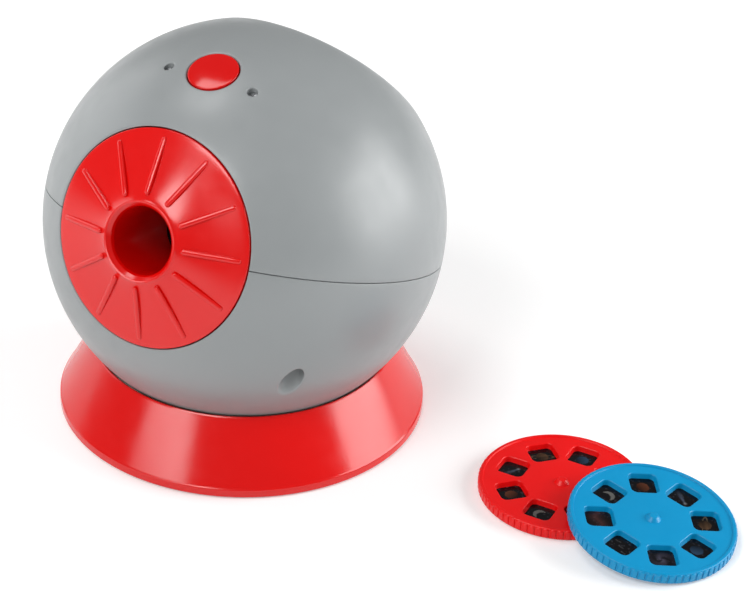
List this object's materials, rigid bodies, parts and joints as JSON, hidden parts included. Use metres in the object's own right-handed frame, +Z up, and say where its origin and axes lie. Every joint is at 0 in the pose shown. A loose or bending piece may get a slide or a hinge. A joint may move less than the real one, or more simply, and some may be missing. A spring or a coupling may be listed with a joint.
{
  "type": "star projector",
  "caption": "Grey ball projector with a ribbed red focus wheel, seated in a red conical base so that it swivels and tilts, with loose picture discs beside it.",
  "frame": {"origin": "centre of the base plate's underside, on the surface that the projector stands on", "axes": "+Z up along the swivel axis, -Y towards the side that the nozzle faces at rest, +X towards the loose discs"},
  "size_m": [0.2973, 0.1593, 0.1622],
  "materials": {
    "red_abs": "glossy moulded red",
    "grey_abs": "satin moulded grey",
    "black_abs": "matte moulded black",
    "white_abs": "white reflector moulding",
    "acetal": "smooth natural acetal",
    "blue_abs": "glossy moulded blue",
    "film": "dark transparency film",
    "steel": "zinc plated",
    "aluminium": "plain extruded",
    "cell_jacket": "printed jacket, plain",
    "circuit": "solder mask",
    "lead_jacket": "soft insulation",
    "clear": "polished clear lens"
  },
  "bodies": {
    "base": {"base_shell": "red_abs", "base_plate": "red_abs", "base_screws": "steel"},
    "swivel": {"swivel_ring": "acetal"},
    "ball": {"upper_shell": "grey_abs", "lower_shell": "grey_abs", "shell_screws": "steel", "battery_door": "grey_abs", "door_screw": "steel", "battery_box": "black_abs", "battery_cells": "cell_jacket", "battery_contacts": "steel", "control_board": "circuit", "board_parts": "black_abs", "board_screws": "steel", "frame_screws": "steel", "lamp_leads": "lead_jacket", "switch_lead": "lead_jacket", "battery_leads": "lead_jacket", "optics_frame": "black_abs", "focus_retainer": "black_abs", "retainer_screws": "steel", "lamp_house": "white_abs", "condenser_lens": "clear", "led_board": "circuit", "led_emitter": "clear", "heat_sink": "aluminium", "switch_bracket": "black_abs", "power_switch": "black_abs", "side_screws": "steel"},
    "focus": {"focus_wheel": "red_abs", "cam_sleeve": "black_abs"},
    "lens": {"lens_barrel": "black_abs", "front_lens": "clear", "rear_lens": "clear", "lens_retainers": "black_abs", "cam_pins": "steel"},
    "button": {"power_button": "red_abs", "switch_plunger": "black_abs"},
    "disc": {"loaded_disc_body": "red_abs", "loaded_disc_film": "film", "loaded_disc_back": "red_abs"},
    "red_disc": {"red_disc_body": "red_abs", "red_disc_film": "film", "red_disc_back": "red_abs"},
    "blue_disc": {"blue_disc_body": "blue_abs", "blue_disc_film": "film", "blue_disc_back": "blue_abs"}
  },
  "joints": [
    {"name": "swivel_turn", "type": "hinge", "parent": "base", "child": "swivel", "pos_m": [0, 0, 0.0822], "axis": [0, 0, 1], "continuous": true},
    {"name": "ball_tilt", "type": "hinge", "parent": "swivel", "child": "ball", "pos_m": [0, 0, 0.0822], "axis": [-1, 0, 0], "range_deg": [-21, 47]},
    {"name": "focus_turn", "type": "hinge", "parent": "ball", "child": "focus", "pos_m": [0, 0, 0.0822], "axis": [0, -0.9461, 0.3239], "range_deg": [-80, 80]},
    {"name": "lens_slide", "type": "slide", "parent": "ball", "child": "lens", "axis": [0, -0.9461, 0.3239], "range_m": [-0.003, 0.003]},
    {"name": "button_press", "type": "slide", "parent": "ball", "child": "button", "axis": [0, 0.3107, -0.9505], "range_m": [0, 0.002], "stiffness_N_per_m": 600, "springref_m": -0.002},
    {"name": "disc_turn", "type": "hinge", "parent": "ball", "child": "disc", "pos_m": [0, 0.04654, 0.08846], "axis": [0, -0.9461, 0.3239], "continuous": true},
    {"name": "red_disc_lift", "type": "slide", "parent": "base", "child": "red_disc", "axis": [0, 0, 1], "range_m": [0, 0.08]},
    {"name": "blue_disc_lift", "type": "slide", "parent": "red_disc", "child": "blue_disc", "axis": [0, 0, 1], "range_m": [0, 0.08]}
  ],
  "couplings": [
    {"joint": "lens_slide", "follows": "focus_turn", "m_per_rad": 0.0021486}
  ]
}
